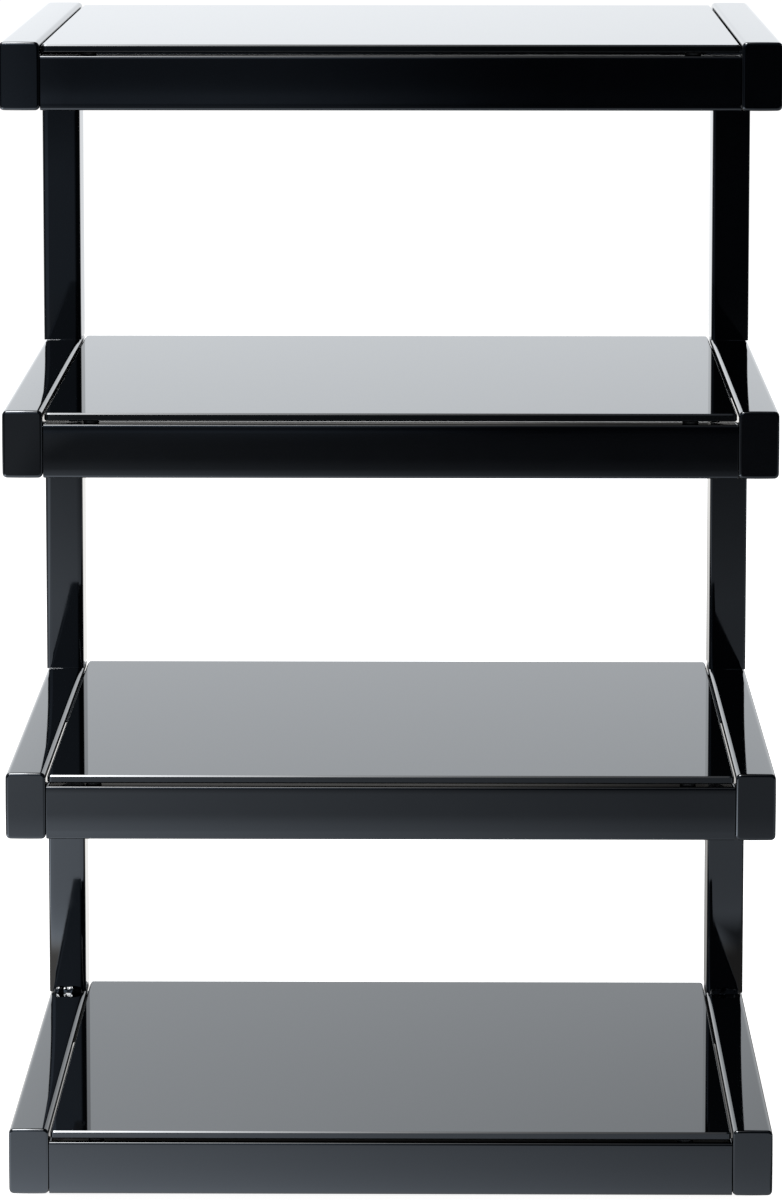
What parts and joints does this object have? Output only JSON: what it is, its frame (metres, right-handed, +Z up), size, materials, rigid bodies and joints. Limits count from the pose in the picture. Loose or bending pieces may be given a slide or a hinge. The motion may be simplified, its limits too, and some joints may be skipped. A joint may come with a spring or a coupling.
{
  "type": "audio equipment rack",
  "caption": "Open four-level rack for audio components: gloss black steel tube frames on rear posts, each frame holding a loose black glass shelf, on levelling feet.",
  "frame": {"origin": "on the floor, under the middle of the rack", "axes": "+Z up, +X to the right as seen from the front, -Y towards the front"},
  "size_m": [0.57, 0.5, 0.8724],
  "materials": {
    "gloss_black_steel": "gloss black powder coat on steel tube, mirror smooth",
    "black_glass": "opaque black tempered glass with polished arrises",
    "pad_rubber": "soft matte black rubber",
    "zinc_steel": "bright zinc plate",
    "foot_plastic": "matte black moulded plastic"
  },
  "bodies": {
    "frame": {"side_rail_1_left": "gloss_black_steel", "side_rail_1_right": "gloss_black_steel", "front_rail_1": "gloss_black_steel", "rear_rail_1": "gloss_black_steel", "pad_1_front_left": "pad_rubber", "pad_1_front_right": "pad_rubber", "pad_1_rear_left": "pad_rubber", "pad_1_rear_right": "pad_rubber", "side_rail_2_left": "gloss_black_steel", "side_rail_2_right": "gloss_black_steel", "front_rail_2": "gloss_black_steel", "rear_rail_2": "gloss_black_steel", "pad_2_front_left": "pad_rubber", "pad_2_front_right": "pad_rubber", "pad_2_rear_left": "pad_rubber", "pad_2_rear_right": "pad_rubber", "side_rail_3_left": "gloss_black_steel", "side_rail_3_right": "gloss_black_steel", "front_rail_3": "gloss_black_steel", "rear_rail_3": "gloss_black_steel", "pad_3_front_left": "pad_rubber", "pad_3_front_right": "pad_rubber", "pad_3_rear_left": "pad_rubber", "pad_3_rear_right": "pad_rubber", "side_rail_4_left": "gloss_black_steel", "side_rail_4_right": "gloss_black_steel", "front_rail_4": "gloss_black_steel", "rear_rail_4": "gloss_black_steel", "pad_4_front_left": "pad_rubber", "pad_4_front_right": "pad_rubber", "pad_4_rear_left": "pad_rubber", "pad_4_rear_right": "pad_rubber", "post_1_left": "gloss_black_steel", "post_stud_1_left": "zinc_steel", "post_1_right": "gloss_black_steel", "post_stud_1_right": "zinc_steel", "post_2_left": "gloss_black_steel", "post_stud_2_left": "zinc_steel", "post_2_right": "gloss_black_steel", "post_stud_2_right": "zinc_steel", "post_3_left": "gloss_black_steel", "post_stud_3_left": "zinc_steel", "post_3_right": "gloss_black_steel", "post_stud_3_right": "zinc_steel", "weld_bead_left": "gloss_black_steel", "weld_bead_right": "gloss_black_steel"},
    "shelf_1": {"glass_shelf_1": "black_glass"},
    "shelf_2": {"glass_shelf_2": "black_glass"},
    "shelf_3": {"glass_shelf_3": "black_glass"},
    "shelf_4": {"glass_shelf_4": "black_glass"},
    "foot_front_left": {"foot_base_front_left": "foot_plastic", "foot_screw_front_left": "zinc_steel"},
    "foot_front_right": {"foot_base_front_right": "foot_plastic", "foot_screw_front_right": "zinc_steel"},
    "foot_rear_left": {"foot_base_rear_left": "foot_plastic", "foot_screw_rear_left": "zinc_steel"},
    "foot_rear_right": {"foot_base_rear_right": "foot_plastic", "foot_screw_rear_right": "zinc_steel"}
  },
  "joints": [
    {"name": "shelf_1_lift", "type": "slide", "parent": "frame", "child": "shelf_1", "axis": [0, 0, 1], "range_m": [0, 0.215]},
    {"name": "shelf_2_lift", "type": "slide", "parent": "frame", "child": "shelf_2", "axis": [0, 0, 1], "range_m": [0, 0.215]},
    {"name": "shelf_3_lift", "type": "slide", "parent": "frame", "child": "shelf_3", "axis": [0, 0, 1], "range_m": [0, 0.215]},
    {"name": "shelf_4_lift", "type": "slide", "parent": "frame", "child": "shelf_4", "axis": [0, 0, 1], "range_m": [0, 0.215]},
    {"name": "foot_front_left_adjust", "type": "slide", "parent": "frame", "child": "foot_front_left", "axis": [0, 0, -1], "range_m": [0, 0.01]},
    {"name": "foot_front_right_adjust", "type": "slide", "parent": "frame", "child": "foot_front_right", "axis": [0, 0, -1], "range_m": [0, 0.01]},
    {"name": "foot_rear_left_adjust", "type": "slide", "parent": "frame", "child": "foot_rear_left", "axis": [0, 0, -1], "range_m": [0, 0.01]},
    {"name": "foot_rear_right_adjust", "type": "slide", "parent": "frame", "child": "foot_rear_right", "axis": [0, 0, -1], "range_m": [0, 0.01]}
  ]
}
